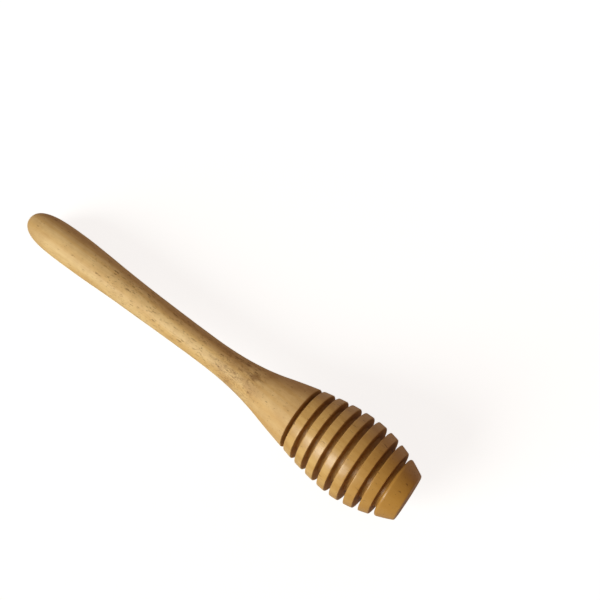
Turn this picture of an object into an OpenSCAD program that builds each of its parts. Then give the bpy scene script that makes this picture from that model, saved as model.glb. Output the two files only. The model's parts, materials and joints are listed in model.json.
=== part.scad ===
// Honey dipper, turned in wood.
// The handle is one piece: a blunt butt, a belly for the fingers, a shaft that
// thins to a neck, and a flare that ends in the wall of the first groove.
// A tenon on the flare is glued into a blind bore in the grooved head.
// The dipper lies on its belly and on its widest ring. Its axis is in the XZ
// plane, its nose points to +X, and the surface that it lies on is Z = 0.

/* [Handle] */
// Distance from the tip of the butt to the widest place of the belly
butt_len = 21; // [8:1:32]
// Fullness of the butt's curve: 2 is an ellipse, and more is blunter
butt_fullness = 2.8; // [2:0.1:4]
// Diameter of the belly, where the fingers hold it
belly_d = 14; // [12.5:0.5:18]
// Distance from the belly to the middle of the shaft
belly_to_shaft = 31; // [20:1:45]
// Diameter of the shaft at its middle
shaft_d = 12; // [11:0.5:13.5]
// Distance from the middle of the shaft to the neck
shaft_to_neck = 39; // [20:1:50]
// Diameter of the neck, the thinnest place
neck_d = 10.7; // [8:0.1:11.8]
// Distance from the neck to the steepest place of the flare
neck_to_swell = 31; // [24:1:45]
// Diameter of the flare at its steepest place
swell_d = 17.6; // [15:0.2:20]
// Steepest angle of the flare to the axis
swell_angle = 15; // [8:0.5:18]
// Distance from the steepest place of the flare to its rim
swell_to_rim = 12.9; // [9:0.1:18]

/* [Head] */
// Diameter of the flare's rim, where the grooves begin
rim_d = 23.9; // [22:0.1:26]
// Angle of the outline to the axis at the rim
rim_angle = 12.5; // [6:0.5:14]
// Distance from the rim to the crown, the widest place of the head
rim_to_crown = 22; // [17:0.5:26]
// Diameter of the head at its crown
crown_d = 30; // [28:0.5:34]
// Diameter of the flat end of the nose, before its edge is rounded
nose_d = 17.2; // [13:0.1:22]
// Angle of the outline to the axis at the nose's end
nose_angle = 27; // [15:1:35]
// Length of the nose, from the last groove to the flat end
nose_len = 6.4; // [5:0.1:12]

/* [Rings and grooves] */
// Number of rings between the grooves
ring_count = 7; // [6:1:9]
// Width of the first ring, next to the handle
first_ring_w = 3.05; // [2.4:0.05:3.8]
// How much wider each ring is than the one before it
ring_growth = 0.06; // [0:0.01:0.15]
// Width of a groove
groove_w = 2.1; // [1.6:0.1:2.8]
// Depth of a groove below the outline
groove_depth = 4.2; // [2.5:0.1:5]
// Width of the last groove, next to the nose
last_groove_w = 1.4; // [1.2:0.1:2.4]
// Depth of the last groove below the outline
last_groove_depth = 3; // [2:0.1:4.5]
// Radius of the broken edges of the rings and of the flare's rim
edge_r = 0.25; // [0.1:0.05:0.7]
// Radius in the corners of the groove floors
floor_r = 0.35; // [0.1:0.05:0.5]
// Radius of the nose's edge at the last groove
nose_back_r = 0.8; // [0.2:0.1:1.2]
// Radius of the edge round the flat end of the nose
nose_edge_r = 0.5; // [0.2:0.1:1.5]

/* [Tenon and bore] */
// Diameter of the tenon on the handle
tenon_d = 8; // [6:0.5:10]
// Length of the tenon
tenon_len = 22; // [14:1:26]
// Chamfer on the end of the tenon
tenon_chamfer = 0.8; // [0.3:0.1:1.5]
// Room for glue all round the tenon
glue_gap = 0.1; // [0.05:0.01:0.2]
// Room for glue past the end of the tenon
glue_well = 1; // [0.5:0.1:2]
// Point angle of the drill that makes the bore
drill_angle = 118; // [90:1:140]

/* [Hidden] */
$fn = 120;

wood_light = "#D2AA68";
wood_gold = "#C49A52";

// Steps of a curve between two stations of the outline
curve_steps = 9;
// Steps of a rounded edge or corner
edge_steps = 3;
// Longest straight step along the top of a ring or of the nose
top_step = 1.75;
// Half the length over which the outline's slope is taken
slope_reach = 0.05;

// Places along the axis, from the tip of the butt
shaft_at = butt_len + belly_to_shaft;
neck_at = shaft_at + shaft_to_neck;
swell_at = neck_at + neck_to_swell;
rim_at = swell_at + swell_to_rim;
crown_at = rim_at + rim_to_crown;

// Rings are counted from 0. Groove 0 lies between the flare and ring 0.
function ring_w(i) = first_ring_w + i * ring_growth;
function ring_start(i) =
    i == 0 ? rim_at + groove_w : ring_end(i - 1) + groove_w;
function ring_end(i) = ring_start(i) + ring_w(i);
nose_start = ring_end(ring_count - 1) + last_groove_w;
nose_end = nose_start + nose_len;

// The outline without its grooves: stations of place, radius and slope, joined
// by smooth curves. The shaft's slope is the mean of its two neighbours.
shaft_slope = (shaft_d - belly_d) / belly_to_shaft / 4
            + (neck_d - shaft_d) / shaft_to_neck / 4;
STATIONS = [
    [butt_len, belly_d / 2, 0],
    [shaft_at, shaft_d / 2, shaft_slope],
    [neck_at, neck_d / 2, 0],
    [swell_at, swell_d / 2, tan(swell_angle)],
    [rim_at, rim_d / 2, tan(rim_angle)],
    [crown_at, crown_d / 2, 0],
    [nose_end, nose_d / 2, -tan(nose_angle)]
];

// Cubic curve from station a to station b, at the share t of the way
function curve(a, b, t) =
    let (span = b[0] - a[0], rise = 3 * t * t - 2 * t * t * t)
    a[1] * (1 - rise) + b[1] * rise
    + span * a[2] * t * (1 - t) * (1 - t)
    - span * b[2] * t * t * (1 - t);

// Radius of the outline at the place s
function radius_at(s, k = 0) =
    s <= STATIONS[k + 1][0] || k == len(STATIONS) - 2
    ? curve(STATIONS[k], STATIONS[k + 1],
            (s - STATIONS[k][0]) / (STATIONS[k + 1][0] - STATIONS[k][0]))
    : radius_at(s, k + 1);

// Angle of the outline to the axis at the place s
function angle_at(s) =
    atan((radius_at(s + slope_reach) - radius_at(s - slope_reach))
         / (2 * slope_reach));

// Points are [radius, place along the axis].
function arc(centre, r, from, to) =
    [for (i = [0:edge_steps])
        let (a = from + (to - from) * i / edge_steps)
        centre + r * [cos(a), sin(a)]];

// Rounded edge of radius r where the outline meets a flat wall at the place s.
// Side is -1 for the wall that faces the butt and 1 for the one facing the nose.
function edge(s, r, side) =
    let (at = s - side * r,
         tilt = angle_at(at),
         centre = [radius_at(at) - r / cos(tilt), at])
    side < 0 ? arc(centre, r, -90, -tilt) : arc(centre, r, -tilt, 90);

// Outline between two places, without the points at its ends
function outline(from, to, steps) =
    [for (i = [1:steps - 1])
        let (s = from + (to - from) * i / steps)
        [radius_at(s), s]];

// Ring or nose from one wall to the next, with its edges rounded
function ridge(from, to, first_r, last_r) =
    concat(edge(from, first_r, -1),
           outline(from + first_r, to - last_r, ceil((to - from) / top_step)),
           edge(to, last_r, 1));

// Floor of a groove. The first one has no corner at the handle's wall.
function floor_at(from, to, depth) = radius_at((from + to) / 2) - depth;
function near_corner(from, r) = arc([r + floor_r, from + floor_r], floor_r, 270, 180);
function far_corner(to, r) = arc([r + floor_r, to - floor_r], floor_r, 180, 90);
first_floor = floor_at(rim_at, rim_at + groove_w, groove_depth);
last_floor = floor_at(ring_end(ring_count - 1), nose_start, last_groove_depth);

function groove(i) =
    let (from = ring_end(i - 1), to = ring_start(i),
         r = floor_at(from, to, groove_depth))
    concat(near_corner(from, r), far_corner(to, r));

bore_r = tenon_d / 2 + glue_gap;
bore_end = rim_at + tenon_len + glue_well;
bore_tip = bore_end + bore_r / tan(drill_angle / 2);
tenon_end = rim_at + tenon_len;

// Butt, from its tip to the belly
BUTT = [for (i = [0:2 * curve_steps])
    let (a = 90 * i / (2 * curve_steps))
    [belly_d / 2 * pow(sin(a), 2 / butt_fullness),
     butt_len * (1 - pow(cos(a), 2 / butt_fullness))]];

// Handle from the belly to the rim, curve by curve
STEM = [for (k = [0:3], i = [1:curve_steps])
    let (from = STATIONS[k][0],
         to = k == 3 ? rim_at - edge_r : STATIONS[k + 1][0],
         s = from + (to - from) * i / curve_steps)
    [radius_at(s), s]];

HANDLE = concat(
    BUTT,
    STEM,
    edge(rim_at, edge_r, 1),
    [[tenon_d / 2, rim_at],
     [tenon_d / 2, tenon_end - tenon_chamfer],
     [tenon_d / 2 - tenon_chamfer, tenon_end],
     [0, tenon_end]]);

HEAD = concat(
    [[bore_r, rim_at], [first_floor, rim_at]],
    far_corner(rim_at + groove_w, first_floor),
    ridge(ring_start(0), ring_end(0), edge_r, edge_r),
    [for (i = [1:ring_count - 1])
        each concat(groove(i), ridge(ring_start(i), ring_end(i), edge_r, edge_r))],
    near_corner(ring_end(ring_count - 1), last_floor),
    far_corner(nose_start, last_floor),
    ridge(nose_start, nose_end, nose_back_r, nose_edge_r),
    [[0, nose_end], [0, bore_tip], [bore_r, bore_end]]);

// The dipper lies on the belly and the head. The axis rises by the angle of
// the line that touches both from outside.
GRIP = [for (p = concat(BUTT, STEM)) if (p[1] < neck_at) p];
rise = atan(max([for (h = HEAD)
    min([for (g = GRIP) (h[0] - g[0]) / (h[1] - g[1])])]));
ALL = concat(HANDLE, HEAD);
butt_height = max([for (p = ALL) p[0] * cos(rise) - p[1] * sin(rise)]);
x_low = min([for (p = ALL) p[1] * cos(rise) - p[0] * sin(rise)]);
x_high = max([for (p = ALL) p[1] * cos(rise) + p[0] * sin(rise)]);

// Turns the outline about its axis and lays the piece down
module turned(points)
    translate([-(x_low + x_high) / 2, 0, butt_height])
    rotate([0, 90 - rise, 0])
    rotate_extrude()
    polygon(points);

module handle() {
    color(wood_light) turned(HANDLE);
}

module head() {
    color(wood_gold) turned(HEAD);
}

handle();
head();
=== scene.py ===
import json
import math

import bpy
from mathutils import Matrix, Vector


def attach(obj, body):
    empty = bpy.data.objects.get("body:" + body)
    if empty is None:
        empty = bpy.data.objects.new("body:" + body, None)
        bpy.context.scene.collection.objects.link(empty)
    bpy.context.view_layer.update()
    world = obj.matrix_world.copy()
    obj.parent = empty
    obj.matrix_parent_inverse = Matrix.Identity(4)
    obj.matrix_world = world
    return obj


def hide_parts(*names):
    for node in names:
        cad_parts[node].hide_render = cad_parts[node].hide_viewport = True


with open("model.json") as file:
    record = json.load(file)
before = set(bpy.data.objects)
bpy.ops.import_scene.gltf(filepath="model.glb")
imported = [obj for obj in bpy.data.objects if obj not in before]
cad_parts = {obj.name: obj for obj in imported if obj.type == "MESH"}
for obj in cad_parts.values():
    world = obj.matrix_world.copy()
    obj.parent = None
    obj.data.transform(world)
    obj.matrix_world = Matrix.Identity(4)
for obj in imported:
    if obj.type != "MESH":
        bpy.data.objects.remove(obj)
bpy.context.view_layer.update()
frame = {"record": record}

scene = bpy.context.scene


# Handle
# One piece of pale oiled hardwood, turned between centres and sanded by hand. It has a blunt
# butt, a belly for the fingers, a thin neck and a flare whose end face is the wall of the first
# groove. A tenon on that face is glued into the head.

# Metres in a millimetre
MM = 0.001

# Places are measured along the axis from the tip of the butt
BUTT_LENGTH = 21 * MM
BUTT_FULLNESS = 2.8
BELLY_RADIUS = 7 * MM
SHAFT_AT, SHAFT_RADIUS = 52 * MM, 6 * MM
NECK_AT, NECK_RADIUS = 91 * MM, 5.35 * MM
SWELL_AT, SWELL_RADIUS, SWELL_ANGLE = 122 * MM, 8.8 * MM, 15
RIM_AT, RIM_RADIUS, RIM_ANGLE = 134.9 * MM, 11.95 * MM, 12.5
CROWN_AT, CROWN_RADIUS = 156.9 * MM, 15 * MM
NOSE_AT, NOSE_RADIUS, NOSE_ANGLE = 180.01 * MM, 8.6 * MM, 27
EDGE_RADIUS = 0.25 * MM
GROOVE_WIDTH, GROOVE_DEPTH = 2.1 * MM, 4.2 * MM
TENON_RADIUS, TENON_LENGTH, TENON_CHAMFER = 4 * MM, 22 * MM, 0.8 * MM
BUTT_STEPS, STEM_STEPS, ARC_STEPS = 32, 130, 6

# Places, radii and slopes that the whole outline runs through, without its grooves
shaft_slope = ((SHAFT_RADIUS - BELLY_RADIUS) / (SHAFT_AT - BUTT_LENGTH)
               + (NECK_RADIUS - SHAFT_RADIUS) / (NECK_AT - SHAFT_AT)) / 2
STATIONS = [
    (BUTT_LENGTH, BELLY_RADIUS, 0),
    (SHAFT_AT, SHAFT_RADIUS, shaft_slope),
    (NECK_AT, NECK_RADIUS, 0),
    (SWELL_AT, SWELL_RADIUS, math.tan(math.radians(SWELL_ANGLE))),
    (RIM_AT, RIM_RADIUS, math.tan(math.radians(RIM_ANGLE))),
    (CROWN_AT, CROWN_RADIUS, 0),
    (NOSE_AT, NOSE_RADIUS, -math.tan(math.radians(NOSE_ANGLE))),
]


def radius_at(place):
    """Radius of the outline at a place along the axis, past the belly."""
    pairs = list(zip(STATIONS, STATIONS[1:]))
    a, b = next((pair for pair in pairs if place <= pair[1][0]), pairs[-1])
    span = b[0] - a[0]
    t = (place - a[0]) / span
    share = 3 * t ** 2 - 2 * t ** 3
    bend = a[2] * t * (1 - t) ** 2 - b[2] * t ** 2 * (1 - t)
    return a[1] * (1 - share) + b[1] * share + span * bend


def slope_angle(place):
    """Angle of the outline to the axis."""
    reach = 0.05 * MM
    rise = radius_at(place + reach) - radius_at(place - reach)
    return math.atan2(rise, 2 * reach)


def arc(place, radius, size, start, end):
    """Points round a centre. Angle 0 points away from the axis and 90 to the nose."""
    turns = [math.radians(start + (end - start) * i / ARC_STEPS) for i in range(ARC_STEPS + 1)]
    return [(place + size * math.sin(t), radius + size * math.cos(t)) for t in turns]


def edge(place, size, side):
    """Rounded edge where the outline meets a flat wall. Side 1 faces the nose, -1 the butt."""
    centre = place - side * size
    tilt = slope_angle(centre)
    radius = radius_at(centre) - size / math.cos(tilt)
    tilt = math.degrees(tilt)
    return arc(centre, radius, size, -90, -tilt) if side < 0 else arc(centre, radius, size, -tilt, 90)


def run(start, end, steps):
    """Outline between two places, without its ends."""
    places = [start + (end - start) * i / steps for i in range(1, steps)]
    return [(place, radius_at(place)) for place in places]


def straight(start, end, steps):
    """Points on the straight line after start, up to end."""
    return [tuple(p + (q - p) * i / steps for p, q in zip(start, end)) for i in range(1, steps + 1)]


def rows(points, below=0.0, loose=1.0, worn=0.0, ring=0.0, end=0.0):
    """Outline points and what is known of them: how far they lie below the outline, how freely
    they wander, how worn they are, their ring's number, and how much end grain they show."""
    marks = {"below": below, "loose": loose, "worn": worn, "ring": ring, "end": end}
    return [(point, marks) for point in points]


# No blank stays quite straight, and no cut is quite square. Place along the axis, how far the
# axis strays to the side there, and how much the cuts lean towards the nose on the -Y side and
# on top.
STRAY = [(0, 0, 0, 0), (25 * MM, -0.12 * MM, 0, 0), (62 * MM, 0.2 * MM, 0, 0),
         (115 * MM, 0.2 * MM, 0.005, 0), (137 * MM, -0.22 * MM, 0.011, 0),
         (145 * MM, -0.2 * MM, 0.0145, 0), (165 * MM, 0, 0.017, 0),
         (173 * MM, 0, 0.017, 0), (180.1 * MM, 0.05 * MM, 0.06, 0.022)]


def stray(place, column):
    """Smooth value between the two nearest rows of STRAY."""
    a, b = next((pair for pair in zip(STRAY, STRAY[1:]) if place <= pair[1][0]), STRAY[-2:])
    t = max((place - a[0]) / (b[0] - a[0]), 0)
    share = t * t * (3 - 2 * t)
    return a[column] * (1 - share) + b[column] * share


def outline_mesh(name, lines):
    """A string of points in the XY plane, X along the axis and Y away from it."""
    mesh = bpy.data.meshes.new(name)
    mesh.from_pydata([(p[0], p[1], 0) for p, _ in lines],
                     [(i, i + 1) for i in range(len(lines) - 1)], [])
    known = {word: [marks[word] for _, marks in lines] for word in lines[0][1]}
    known["bow"] = [stray(p[0], 1) for p, _ in lines]
    known["lean_side"] = [stray(p[0], 2) for p, _ in lines]
    known["lean_top"] = [stray(p[0], 3) for p, _ in lines]
    for word, values in known.items():
        mesh.attributes.new(word, "FLOAT", "POINT").data.foreach_set("value", values)
    return mesh


def put(tree, kind, links=None, **settings):
    """Adds a node. Links maps an input, by name or place, to a value or to an output."""
    node = tree.nodes.new(kind)
    for word, value in settings.items():
        setattr(node, word, value)
    for key, value in (links or {}).items():
        if isinstance(value, bpy.types.NodeSocket):
            tree.links.new(value, node.inputs[key])
        else:
            node.inputs[key].default_value = value
    return node


def sums(tree, operation, *values, clamp=False):
    """Math on sockets or numbers."""
    links = dict(enumerate(values))
    return put(tree, "ShaderNodeMath", links, operation=operation, use_clamp=clamp).outputs[0]


def turning_tree():
    """The lathe: spins an outline into a closed body, a little out of round, with faint tool
    waves along it and edges that are softened and nicked."""
    tree = bpy.data.node_groups.new("turning", "GeometryNodeTree")
    panel = tree.interface
    panel.new_socket("Outline", in_out="INPUT", socket_type="NodeSocketGeometry")
    for word, kind in (("Steps Round", "Int"), ("Out Of Round", "Float"), ("Tool Waves", "Float"),
                       ("Ring Wobble", "Float"), ("Edge Wear", "Float"), ("Seed", "Float"),
                       ("Wood", "Material")):
        panel.new_socket(word, in_out="INPUT", socket_type="NodeSocket" + kind)
    panel.new_socket("Turned", in_out="OUTPUT", socket_type="NodeSocketGeometry")
    given = put(tree, "NodeGroupInput").outputs
    outline = given["Outline"]

    size = put(tree, "GeometryNodeAttributeDomainSize", {"Geometry": outline})
    columns = sums(tree, "ADD", given["Steps Round"], 1.0)
    grid = put(tree, "GeometryNodeMeshGrid",
               {"Vertices X": size.outputs["Point Count"], "Vertices Y": columns})
    index = put(tree, "GeometryNodeInputIndex").outputs[0]
    row = sums(tree, "FLOOR", sums(tree, "DIVIDE", sums(tree, "ADD", index, 0.5), columns))
    column = sums(tree, "SUBTRACT", index, sums(tree, "MULTIPLY", row, columns))
    turn = sums(tree, "MULTIPLY", sums(tree, "DIVIDE", column, given["Steps Round"]), -math.tau)

    def sampled(value, kind):
        """Value at the outline's point that this row of the grid stands for."""
        links = {"Geometry": outline, "Value": value, "Index": row}
        return put(tree, "GeometryNodeSampleIndex", links, data_type=kind).outputs[0]

    def carried(word):
        """One of the outline's marks at that point."""
        named = put(tree, "GeometryNodeInputNamedAttribute", {"Name": word})
        return sampled(named.outputs["Attribute"], "FLOAT")

    point = put(tree, "ShaderNodeSeparateXYZ",
                {0: sampled(put(tree, "GeometryNodeInputPosition").outputs[0], "FLOAT_VECTOR")})
    place, radius = point.outputs["X"], point.outputs["Y"]
    below, loose, worn, ring = (carried(word) for word in ("below", "loose", "worn", "ring"))
    end, bow = carried("end"), carried("bow")
    lean_side, lean_top = carried("lean_side"), carried("lean_top")
    across = sums(tree, "COSINE", turn)
    up = sums(tree, "SINE", turn)

    def noise(x, y, z, scale, detail=2.0):
        """Noise from -1 to 1."""
        vector = put(tree, "ShaderNodeCombineXYZ", {"X": x, "Y": y, "Z": z}).outputs[0]
        made = put(tree, "ShaderNodeTexNoise",
                   {"Vector": vector, "W": given["Seed"], "Scale": scale, "Detail": detail},
                   noise_dimensions="4D").outputs[0]
        return sums(tree, "MULTIPLY", sums(tree, "SUBTRACT", made, 0.5), 2.0)

    def scaled(value, factor):
        return sums(tree, "MULTIPLY", value, factor)

    # Inside this radius a point wanders less, and points closer than the weld are joined
    calm_radius, weld = 4 * MM, 0.002 * MM

    # The body wanders over lengths of about 20 mm, and the tool leaves waves of about 2 mm
    wander = noise(scaled(place, 50.0), across, up, 1.0)
    waves = noise(scaled(place, 420.0), scaled(across, 0.35), scaled(up, 0.35), 1.0)
    # Each ring wobbles in its own way, and its edges are nicked over tenths of a millimetre
    wobble = noise(scaled(ring, 3.7), scaled(across, 0.8), scaled(up, 0.8), 1.0, 1.0)
    girth = scaled(radius, 1000.0)
    nicks = noise(scaled(place, 900.0), sums(tree, "MULTIPLY", across, girth),
                  sums(tree, "MULTIPLY", up, girth), 0.9, 3.0)
    nick = sums(tree, "POWER", sums(tree, "MAXIMUM", nicks, 0.0), 2.0)

    swell = sums(tree, "ADD", sums(tree, "MULTIPLY", wander, given["Out Of Round"]),
                 sums(tree, "MULTIPLY", waves, given["Tool Waves"]))
    # Nothing wanders where the two pieces fit, and less and less does towards the axis
    hold = sums(tree, "MULTIPLY", loose, sums(tree, "DIVIDE", radius, calm_radius, clamp=True))
    loss = sums(tree, "MULTIPLY", sums(tree, "MULTIPLY", nick, worn), given["Edge Wear"])
    new_radius = sums(tree, "ADD", radius,
                      sums(tree, "MULTIPLY", sums(tree, "SUBTRACT", swell, loss), hold))
    slide = sums(tree, "MULTIPLY", sums(tree, "MULTIPLY", wobble, given["Ring Wobble"]), hold)
    y = sums(tree, "MULTIPLY", new_radius, across)
    z = sums(tree, "MULTIPLY", new_radius, up)
    lean = sums(tree, "SUBTRACT", sums(tree, "MULTIPLY", lean_top, z),
                sums(tree, "MULTIPLY", lean_side, y))
    new_place = sums(tree, "ADD", sums(tree, "ADD", place, slide), lean)
    position = put(tree, "ShaderNodeCombineXYZ", {
        "X": new_place, "Y": sums(tree, "SUBTRACT", y, bow), "Z": z}).outputs[0]

    body = put(tree, "GeometryNodeSetPosition",
               {"Geometry": grid.outputs["Mesh"], "Position": position}).outputs[0]
    for word, value in (("below", below), ("end", end)):
        body = put(tree, "GeometryNodeStoreNamedAttribute",
                   {"Geometry": body, "Name": word, "Value": value}).outputs[0]
    body = put(tree, "GeometryNodeMergeByDistance",
               {"Geometry": body, "Distance": weld}).outputs[0]
    body = put(tree, "GeometryNodeSetShadeSmooth", {"Geometry": body}).outputs[0]
    body = put(tree, "GeometryNodeRealizeInstances", {"Geometry": body}).outputs[0]
    body = put(tree, "GeometryNodeSetMaterial",
               {"Geometry": body, "Material": given["Wood"]}).outputs[0]
    put(tree, "NodeGroupOutput", {"Turned": body})
    return tree


turning = turning_tree()

# The dipper lies down: its axis runs from the butt's tip to the mount on the flat of the nose
nose_mount = frame["record"]["mounts"][0]
axis = Vector(nose_mount["axis"]).normalized()
butt_tip = Vector(nose_mount["pos_m"]) - NOSE_AT * axis
axis_rise = math.asin(axis.z)
lay_down = Matrix.Translation(butt_tip) @ Matrix.Rotation(-axis_rise, 4, "Y")


def turned_piece(name, lines, material, **sizes):
    """Runs the lathe on an outline and returns a plain mesh object, laid down in its place."""
    blank = bpy.data.objects.new(name + "_outline", outline_mesh(name + "_outline", lines))
    scene.collection.objects.link(blank)
    lathe = blank.modifiers.new("turning", "NODES")
    lathe.node_group = turning
    sockets = {s.name: s.identifier for s in turning.interface.items_tree if s.in_out == "INPUT"}
    for word, value in {**sizes, "Wood": material}.items():
        lathe[sockets[word]] = value
    blank.update_tag()
    graph = bpy.context.evaluated_depsgraph_get()
    mesh = bpy.data.meshes.new_from_object(blank.evaluated_get(graph))
    bpy.data.objects.remove(blank)
    mesh.name = name
    mesh.transform(lay_down)
    piece = bpy.data.objects.new(name, mesh)
    scene.collection.objects.link(piece)
    return piece


def tone(code):
    """Linear colour of a hex code, as a shader takes it."""
    parts = [int(code[i:i + 2], 16) / 255 for i in (1, 3, 5)]
    return tuple(c / 12.92 if c <= 0.04045 else ((c + 0.055) / 1.055) ** 2.4 for c in parts) + (1,)


def wood(name, pale, mid, dark, pith, seed, rough, gloss, coat, mottle, soak_and_shade):
    """Oiled turned hardwood. All its grain is cut from one solid pattern in millimetres, with
    the dipper's axis along X, so streaks run lengthwise and the flat nose shows end grain.
    Pith is where the heart of the tree lay, from the axis. Mottle is the strength of the brown
    marks on the neck and of the painted shade along its top. Soak gives a stretch along the
    axis, a share and a colour; on the head this deeper tone is partly oil and partly painted shade."""
    material = bpy.data.materials.new(name)
    material.use_nodes = True
    tree = material.node_tree
    shader = tree.nodes["Principled BSDF"]
    turn_back = Matrix.Rotation(axis_rise, 4, "Y")
    grain = put(tree, "ShaderNodeMapping", {
        "Vector": put(tree, "ShaderNodeTexCoord").outputs["Object"],
        "Location": -(turn_back @ butt_tip) / MM,
        "Rotation": (0, axis_rise, 0), "Scale": (1 / MM, 1 / MM, 1 / MM)}).outputs[0]

    def times(a, b):
        return sums(tree, "MULTIPLY", a, b)

    def plus(a, b):
        return sums(tree, "ADD", a, b)

    def noise(along, across, detail, shift=0.0, harsh=0.55, warp=0.0):
        """Noise from 0 to 1. Along and across are its grains per millimetre."""
        moved = put(tree, "ShaderNodeMapping", {
            "Vector": grain, "Scale": (along, across, across),
            "Location": (seed + shift, seed - shift, shift)}).outputs[0]
        return put(tree, "ShaderNodeTexNoise", {
            "Vector": moved, "Scale": 1.0, "Detail": detail, "Roughness": harsh,
            "Distortion": warp}).outputs[0]

    def between(value, low, high, to_low=0.0, to_high=1.0):
        """Smooth step from to_low at low to to_high at high. Low may be the larger."""
        return put(tree, "ShaderNodeMapRange", {
            0: value, 1: low, 2: high, 3: to_low, 4: to_high},
            interpolation_type="SMOOTHSTEP").outputs[0]

    def band(value, start, full, fading, end):
        """1 from full to fading, and 0 before start and after end."""
        return times(between(value, start, full), between(value, end, fading))

    def mixed(share, first, second):
        return put(tree, "ShaderNodeMix", {0: share, 6: first, 7: second},
                   data_type="RGBA").outputs[2]

    # Growth rings: distance from the heart of the tree, a little wavy
    sway = noise(0.02, 0.045, 1.0)
    x, y, z = put(tree, "ShaderNodeSeparateXYZ", {0: grain}).outputs
    far_y = plus(plus(y, times(sway, 7.0)), -pith[0])
    far_z = plus(plus(z, times(x, 0.035)), -pith[1])
    reach = sums(tree, "SQRT", plus(times(far_y, far_y), times(far_z, far_z)))
    rings = put(tree, "ShaderNodeTexNoise",
                {"W": reach, "Scale": 0.42, "Detail": 2.0}, noise_dimensions="1D").outputs[0]

    fibres = noise(0.05, 1.9, 4.0)
    fine = noise(0.35, 6.0, 2.0)
    clouds = noise(0.035, 0.16, 3.0, 5.0)

    # Brown mottle where the neck runs out into the flare, with larger soft stains under it
    near_flare = band(x, 92.0, 104.0, 111.0, 122.0)
    fleck = times(between(noise(0.4, 0.9, 4.0, 2.0, 0.7, 0.8), 0.47, 0.68),
                  times(near_flare, mottle))
    stain = times(band(x, 94.0, 108.0, 113.0, 124.0), mottle)
    stain = times(between(noise(0.09, 0.15, 2.0, 7.0), 0.46, 0.6), stain)
    # Painted shade: a browner streak along the top of the neck, laid into the wood's colour
    painted_neck_shade = band(x, 56.0, 74.0, 102.0, 114.0)
    beside = sums(tree, "ABSOLUTE", plus(plus(y, times(sway, 2.0)), -1.3))
    painted_neck_shade = times(times(painted_neck_shade, between(beside, 2.6, 0.9)), mottle)
    # One brown smudge near the top, 114 mm along
    spot = plus(times(sums(tree, "ABSOLUTE", plus(x, -114.5)), 0.17),
                times(sums(tree, "ABSOLUTE", plus(y, 1.2)), 0.32))
    spot = plus(spot, times(noise(0.5, 0.9, 3.0, 17.0), 0.9))
    spot = times(times(between(spot, 1.35, 0.55), between(z, 2.0, 4.0)), mottle)

    # Pores: short dark dashes, a little bent, most of them along the shaft and in the mottle
    shaft = band(x, 30.0, 55.0, 98.0, 118.0)
    crowd = times(between(noise(0.03, 0.14, 3.0, 9.0), 0.22, 0.58), shaft)
    crowd = plus(sums(tree, "MAXIMUM", crowd, times(near_flare, mottle)), 0.14)
    jumble = put(tree, "ShaderNodeTexNoise", {
        "Vector": grain, "Scale": 1.3, "Detail": 1.0}).outputs["Color"]
    wavy = put(tree, "ShaderNodeVectorMath", {0: jumble, 1: (2.4, 0.7, 0.7), 2: grain},
               operation="MULTIPLY_ADD").outputs[0]

    def dashes(along, across, share, shift):
        """Dashes from 0 to 1, one in a cell. Share of the cells that have one in a crowd."""
        cells = put(tree, "ShaderNodeTexVoronoi", {"Vector": put(tree, "ShaderNodeMapping", {
            "Vector": wavy, "Scale": (along, across, across),
            "Location": (seed, shift, seed)}).outputs[0], "Scale": 1.0})
        pick = put(tree, "ShaderNodeSeparateColor", {0: cells.outputs["Color"]}).outputs
        size = plus(times(pick[1], 0.22), 0.2)
        here = sums(tree, "LESS_THAN", pick[0], times(crowd, share))
        dash = sums(tree, "SUBTRACT", 1.0, sums(tree, "DIVIDE", cells.outputs["Distance"], size),
                    clamp=True)
        return times(between(dash, 0.0, 0.45), times(here, plus(times(pick[2], 0.6), 0.4)))

    pore = sums(tree, "MAXIMUM", dashes(0.24, 1.5, 0.6, 4.0),
                times(dashes(0.45, 2.6, 1.1, 11.0), 0.75))

    # End grain drinks more oil and shows the growth rings, and the depths of the grooves are
    # darkened with painted shade
    end = put(tree, "ShaderNodeAttribute", attribute_name="end").outputs["Fac"]
    below = put(tree, "ShaderNodeAttribute", attribute_name="below").outputs["Fac"]
    depth = between(below, 0.2 * MM, 3.2 * MM)
    late = plus(times(between(rings, 0.42, 0.62), 0.7), times(between(fine, 0.45, 0.65), 0.3))
    end_grain_and_shade = mixed(late, tone("#B6823E"), tone("#80501A"))

    # The colour in layers, each with where it lies, how well it covers and its tone. The butt's
    # tip is browner, and the soak is a deeper stretch: oil taken up and, on the head, painted shade
    # towards the nose.
    blotches = noise(0.22, 0.3, 2.0, 13.0)
    colour = mixed(between(rings, 0.3, 0.7), pale, mid)
    for where, cover, layer in (
            (between(clouds, 0.35, 0.7), 0.24, dark),
            (between(blotches, 0.4, 0.68), 0.17, dark),
            (between(fibres, 0.42, 0.72), 0.14, dark),
            (between(fine, 0.45, 0.75), 0.14, dark),
            # Painted shade: the butt's tip is browner
            (between(x, 20.0, 2.0), 0.4, tone("#B08C54")),
            (between(x, soak_and_shade[0], soak_and_shade[1]), soak_and_shade[2], tone(soak_and_shade[3])),
            (painted_neck_shade, 0.42, tone("#A87A40")),
            (stain, 0.4, tone("#96683A")),
            (fleck, 0.58, tone("#7C5228")),
            (spot, 0.75, tone("#7C5228")),
            (pore, 0.8, tone("#6E4A1E")),
            # Painted shade, darker the deeper into a groove
            (depth, 0.45, tone("#A07030")),
            # End grain on the groove walls and the nose's flat: darker from oil taken up, and also
            # painted shade
            (end, 0.5, end_grain_and_shade)):
        colour = mixed(times(where, cover), colour, layer)
    tree.links.new(colour, shader.inputs["Base Color"])

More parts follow.
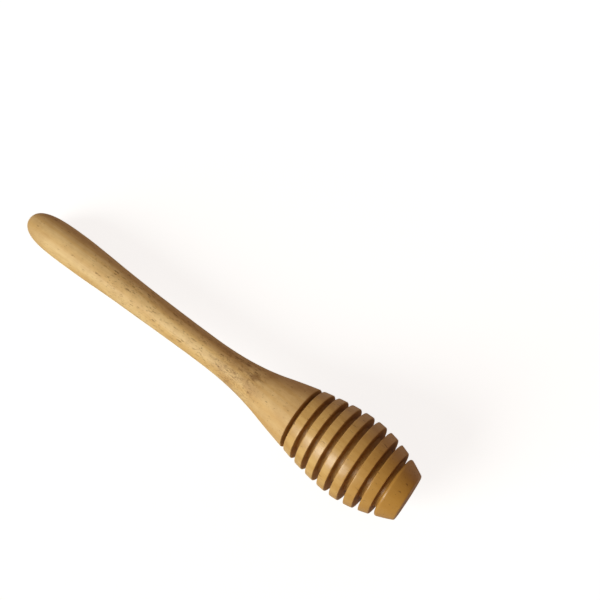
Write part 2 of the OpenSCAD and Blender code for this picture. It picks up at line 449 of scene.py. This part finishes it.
    # Deep groove floors, end grain and pores are duller, and the pores are sunk
    dull = between(plus(times(fibres, 0.7), times(clouds, 0.3)), 0.3, 0.7,
                   rough - 0.05, rough + 0.08)
    for raised in (times(depth, 0.5), times(end, 0.6), times(pore, 0.2)):
        dull = plus(dull, raised)
    tree.links.new(sums(tree, "MINIMUM", dull, 1.0), shader.inputs["Roughness"])
    shader.inputs["IOR"].default_value = 1.45
    shader.inputs["Specular IOR Level"].default_value = gloss
    shader.inputs["Coat Weight"].default_value = coat
    shader.inputs["Coat Roughness"].default_value = 0.33

    height = plus(plus(times(fine, 0.5), times(fibres, 0.6)), times(pore, -1.0))
    bump = put(tree, "ShaderNodeBump",
               {"Height": height, "Strength": 0.5, "Distance": 0.05 * MM}).outputs[0]
    tree.links.new(bump, shader.inputs["Normal"])
    return material


handle_wood = wood("handle_wood", tone("#EAD197"), tone("#E3C585"), tone("#B28B50"),
                   pith=(-34, -12), seed=3.0, rough=0.52, gloss=0.4, coat=0.04,
                   mottle=0.9, soak_and_shade=(108.0, 130.0, 0.18, "#C08E54"))

# Outline from the tip of the butt over the rim, down the groove's wall and along the tenon
butt = []
for i in range(BUTT_STEPS + 1):
    swing = math.pi / 2 * i / BUTT_STEPS
    butt.append((BUTT_LENGTH * (1 - max(math.cos(swing), 0) ** (2 / BUTT_FULLNESS)),
                 BELLY_RADIUS * math.sin(swing) ** (2 / BUTT_FULLNESS)))
stem = run(BUTT_LENGTH, RIM_AT - EDGE_RADIUS, STEM_STEPS)
rim = edge(RIM_AT, EDGE_RADIUS, 1)
core_radius = radius_at(RIM_AT + GROOVE_WIDTH / 2) - GROOVE_DEPTH
wall = straight(rim[-1], (RIM_AT, core_radius), steps=8)
tenon_end = RIM_AT + TENON_LENGTH
tenon = (straight((RIM_AT, core_radius), (RIM_AT, TENON_RADIUS), steps=3)
         + straight((RIM_AT, TENON_RADIUS), (tenon_end - TENON_CHAMFER, TENON_RADIUS), steps=8)
         + [(tenon_end, TENON_RADIUS - TENON_CHAMFER), (tenon_end, 0)])
handle_lines = rows(butt) + rows(stem) + rows(rim, worn=1.0)
for point in wall:
    handle_lines += rows([point], below=RIM_RADIUS - point[1], loose=0.4, end=0.4)
handle_lines += rows(tenon, below=TENON_LENGTH, loose=0.0)

handle = turned_piece("handle_wood", handle_lines, handle_wood, **{
    "Steps Round": 160, "Out Of Round": 0.12 * MM, "Tool Waves": 0.012 * MM,
    "Ring Wobble": 0.0, "Edge Wear": 0.25 * MM, "Seed": 1.0})
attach(handle, "root")
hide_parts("handle")


# Head
# A turned barrel of the same wood with seven rings, parted off by hand with a narrow tool, so
# that no two are quite alike. The grooves hold the honey. A blind bore takes the tenon, and the
# nose ends in a flat.

FIRST_RING, RING_GROWTH = 3.05 * MM, 0.06 * MM
# Widths of the cuts as they came out, from the flare to the nose. A wide cut leaves a thin ring.
CUT_WIDTHS = [width * MM for width in (1.6, 2.15, 2.1, 2.2, 2.25, 2.2, 2.05, 1.5)]
LAST_GROOVE_DEPTH = 3 * MM
FLOOR_CORNER = 0.35 * MM
# Radii of the nose's two edges, and where its flat end lies
NOSE_BACK, NOSE_EDGE, NOSE_END = 0.8 * MM, 0.9 * MM, NOSE_AT + 0.2 * MM
BORE_RADIUS, BORE_DEPTH, DRILL_ANGLE = 4.1 * MM, 23 * MM, 118
RING_STEPS, NOSE_STEPS = 8, 14

# The outline starts in the bore, from the drill's point back to the face against the handle
bore_end = RIM_AT + BORE_DEPTH
bore_tip = bore_end + BORE_RADIUS / math.tan(math.radians(DRILL_ANGLE / 2))
head_lines = rows([(bore_tip, 0)] + straight((bore_tip, 0), (bore_end, BORE_RADIUS), steps=3)
                  + straight((bore_end, BORE_RADIUS), (RIM_AT, BORE_RADIUS), steps=8),
                  below=BORE_DEPTH, loose=0.0)


def groove_wall(from_point, to_point, top, ring):
    """Flat side of a groove, whose mouth has the radius top."""
    lines = []
    for point in straight(from_point, to_point, steps=6):
        lines += rows([point], below=max(top - point[1], 0), loose=0.6, ring=ring, end=1.0)
    return lines


# Each turn of the loop adds a groove and then the ring after it. The last ring is the nose.
groove_start = RIM_AT
nose_ring = len(CUT_WIDTHS) - 1
for ring, width in enumerate(CUT_WIDTHS):
    is_nose = ring == nose_ring
    depth = LAST_GROOVE_DEPTH if is_nose else GROOVE_DEPTH
    top = radius_at(groove_start + width / 2)
    floor = top - depth
    ring_start = groove_start + width
    ring_end = groove_start + GROOVE_WIDTH + FIRST_RING + ring * RING_GROWTH
    near_edge = far_edge = EDGE_RADIUS
    if is_nose:
        ring_end, near_edge, far_edge = NOSE_END, NOSE_BACK, NOSE_EDGE
    if ring == 0:
        face = straight((groove_start, BORE_RADIUS), (groove_start, floor), steps=3)
        head_lines += rows(face, below=BORE_DEPTH, loose=0.0)
        floor_start = groove_start
    else:
        corner = arc(groove_start + FLOOR_CORNER, floor + FLOOR_CORNER, FLOOR_CORNER, -90, -180)
        head_lines += groove_wall(head_lines[-1][0], corner[0], top, ring - 1)
        head_lines += rows(corner[1:], below=depth, loose=0.6, ring=ring - 1)
        floor_start = corner[-1][0]
    corner = arc(ring_start - FLOOR_CORNER, floor + FLOOR_CORNER, FLOOR_CORNER, 180, 90)
    head_lines += rows(straight((floor_start, floor), corner[0], steps=5) + corner[1:],
                       below=depth, loose=0.6, ring=ring)
    near = edge(ring_start, near_edge, -1)
    head_lines += groove_wall(corner[-1], near[0], top, ring)
    head_lines += rows(near[1:], worn=1.0, ring=ring)
    far = edge(ring_end, far_edge, 1)
    steps = NOSE_STEPS if is_nose else RING_STEPS
    head_lines += rows(run(near[-1][0], far[0][0], steps), ring=ring)
    head_lines += rows(far, worn=1.0, ring=ring)
    groove_start = ring_end
head_lines += rows(straight(far[-1], (NOSE_END, 0), steps=12), ring=nose_ring, end=1.0)

head_wood = wood("head_wood", tone("#E2C27C"), tone("#D8B56C"), tone("#A87C42"),
                 pith=(-34, -12), seed=3.0, rough=0.31, gloss=0.5, coat=0.36, mottle=0.0,
                 soak_and_shade=(145.0, 181.0, 0.87, "#BA8A36"))
head = turned_piece("head_wood", head_lines, head_wood, **{
    "Steps Round": 192, "Out Of Round": 0.12 * MM, "Tool Waves": 0.02 * MM,
    "Ring Wobble": 0.12 * MM, "Edge Wear": 0.35 * MM, "Seed": 4.0})
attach(head, "root")
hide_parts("head")


# Floor
# A plain white sheet under the dipper. The camera sees it as white, with the dipper's own
# shadow left on it.

FLOOR_SIZE = 3.0
# The camera sees this glow, with the light and shadow of a grey tint added to it
FLOOR_GLOW = 0.81
SHADOW_TINT = (0.5, 0.56, 0.6, 1)
floor_mesh = bpy.data.meshes.new("floor")
half = FLOOR_SIZE / 2
floor_mesh.from_pydata([(-half, -half, 0), (half, -half, 0), (half, half, 0), (-half, half, 0)],
                       [], [(0, 1, 2, 3)])
floor_sheet = bpy.data.objects.new("floor", floor_mesh)
scene.collection.objects.link(floor_sheet)
floor_paper = bpy.data.materials.new("floor_paper")
floor_paper.use_nodes = True
tree = floor_paper.node_tree
tree.nodes.clear()
paper = put(tree, "ShaderNodeBsdfDiffuse", {"Color": (0.8, 0.8, 0.8, 1)}).outputs[0]
glow = put(tree, "ShaderNodeEmission", {"Color": (1, 1, 1, 1), "Strength": FLOOR_GLOW}).outputs[0]
tint = put(tree, "ShaderNodeBsdfDiffuse", {"Color": SHADOW_TINT}).outputs[0]
white = put(tree, "ShaderNodeAddShader", {0: glow, 1: tint}).outputs[0]
rays = put(tree, "ShaderNodeLightPath").outputs
shown = put(tree, "ShaderNodeMixShader", {0: rays["Is Camera Ray"], 1: paper, 2: white}).outputs[0]
put(tree, "ShaderNodeOutputMaterial", {"Surface": shown})
floor_mesh.materials.append(floor_paper)


# Light and camera
# A wide soft lamp, low on the near side, gives the long pale sheen. The room and a faint, very
# soft lamp from behind fill the shade. The camera stands and looks as the photograph's did.

ROOM_COLOUR, ROOM_STRENGTH = (1.0, 0.6, 0.4, 1), 0.22
world = bpy.data.worlds.new("room")
scene.world = world
world.use_nodes = True
tree = world.node_tree
tree.nodes.clear()
rays = put(tree, "ShaderNodeLightPath").outputs
room = put(tree, "ShaderNodeBackground",
           {"Color": ROOM_COLOUR, "Strength": ROOM_STRENGTH}).outputs[0]
white = put(tree, "ShaderNodeBackground", {"Color": (1, 1, 1, 1), "Strength": 1.0}).outputs[0]
seen = put(tree, "ShaderNodeMixShader", {0: rays["Is Camera Ray"], 1: room, 2: white}).outputs[0]
put(tree, "ShaderNodeOutputWorld", {"Surface": seen})


def soft_lamp(name, come_from, energy, angle, colour):
    """A lamp whose light comes from one side, softened by its angle in degrees."""
    lamp_data = bpy.data.lights.new(name, "SUN")
    lamp_data.energy = energy
    lamp_data.angle = math.radians(angle)
    lamp_data.color = colour
    lamp = bpy.data.objects.new(name, lamp_data)
    lamp.rotation_euler = Vector(come_from).to_track_quat("Z", "Y").to_euler()
    scene.collection.objects.link(lamp)


soft_lamp("window", (-0.29, -0.9, 0.31), energy=2.45, angle=32, colour=(1.0, 0.975, 0.9))
soft_lamp("far_wall", (0.05, 0.9, 0.22), energy=0.21, angle=70, colour=(1.0, 0.95, 0.88))

CAMERA_AT = (0.10117, -0.13778, 0.28838)
CAMERA_TURN = (34.887, -8.394, 38.26)
SENSOR = 36
LENS = 53.49
camera_data = bpy.data.cameras.new("camera")
camera_data.sensor_width = SENSOR
camera_data.lens = LENS
camera_data.clip_start = 0.01
camera = bpy.data.objects.new("camera", camera_data)
camera.location = CAMERA_AT
camera.rotation_euler = [math.radians(a) for a in CAMERA_TURN]
scene.collection.objects.link(camera)
scene.camera = camera
scene.view_settings.view_transform = "Standard"
